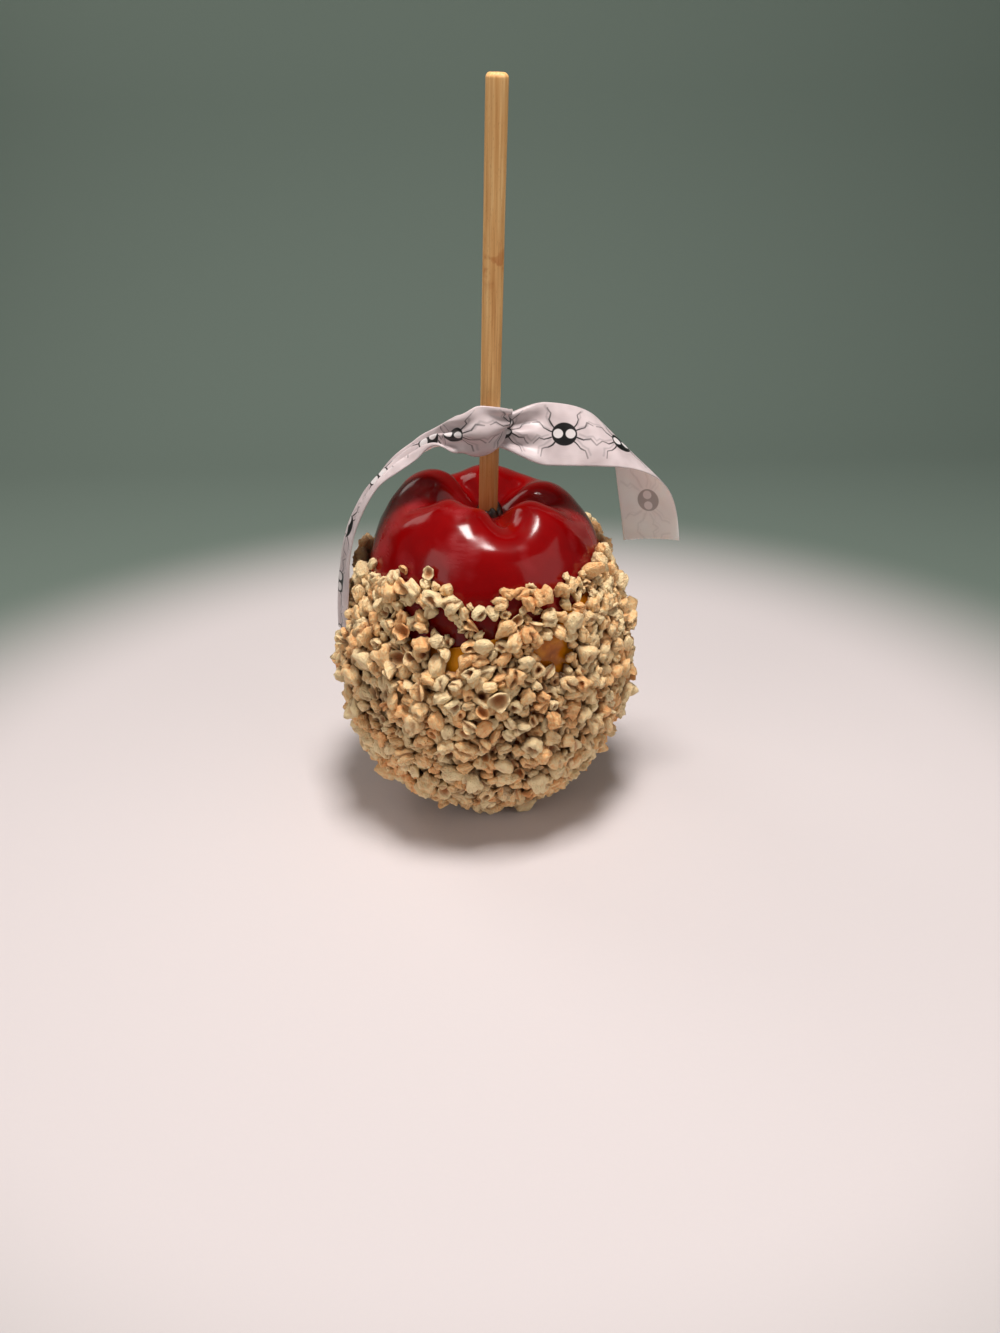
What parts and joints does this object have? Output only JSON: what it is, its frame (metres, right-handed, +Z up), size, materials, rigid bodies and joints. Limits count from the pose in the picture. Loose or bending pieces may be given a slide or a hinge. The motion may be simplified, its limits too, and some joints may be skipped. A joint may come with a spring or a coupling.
{
  "type": "toffee apple",
  "caption": "Decorative imitation toffee apple standing on a nut-coated base: tall red lobed fruit, amber toffee, chopped nuts, a round wooden stick and a tied printed ribbon.",
  "frame": {"origin": "centre of the flat foot that the nut coat rests on", "axes": "+Z up, along the height with the stick at the top; -Y to the front, towards which the stick leans a little; +X to the front's right"},
  "size_m": [0.1158, 0.1003, 0.2234],
  "materials": {
    "red_skin": "smooth deep red lacquer, satin gloss, a little paler along the crests of the lobes",
    "amber_toffee": "glossy amber coat, showing between the nuts",
    "chopped_nuts": "loose-grained crumbs from cream to pinkish tan, dull",
    "bare_wood": "unfinished turned dowel, fine straight grain",
    "printed_satin": "white satin ribbon printed in black with small spiders, plain reverse"
  },
  "bodies": {
    "root": {"fruit": "red_skin", "toffee_coat": "amber_toffee", "nut_coat": "chopped_nuts", "stick": "bare_wood", "ribbon": "printed_satin"}
  },
  "joints": []
}
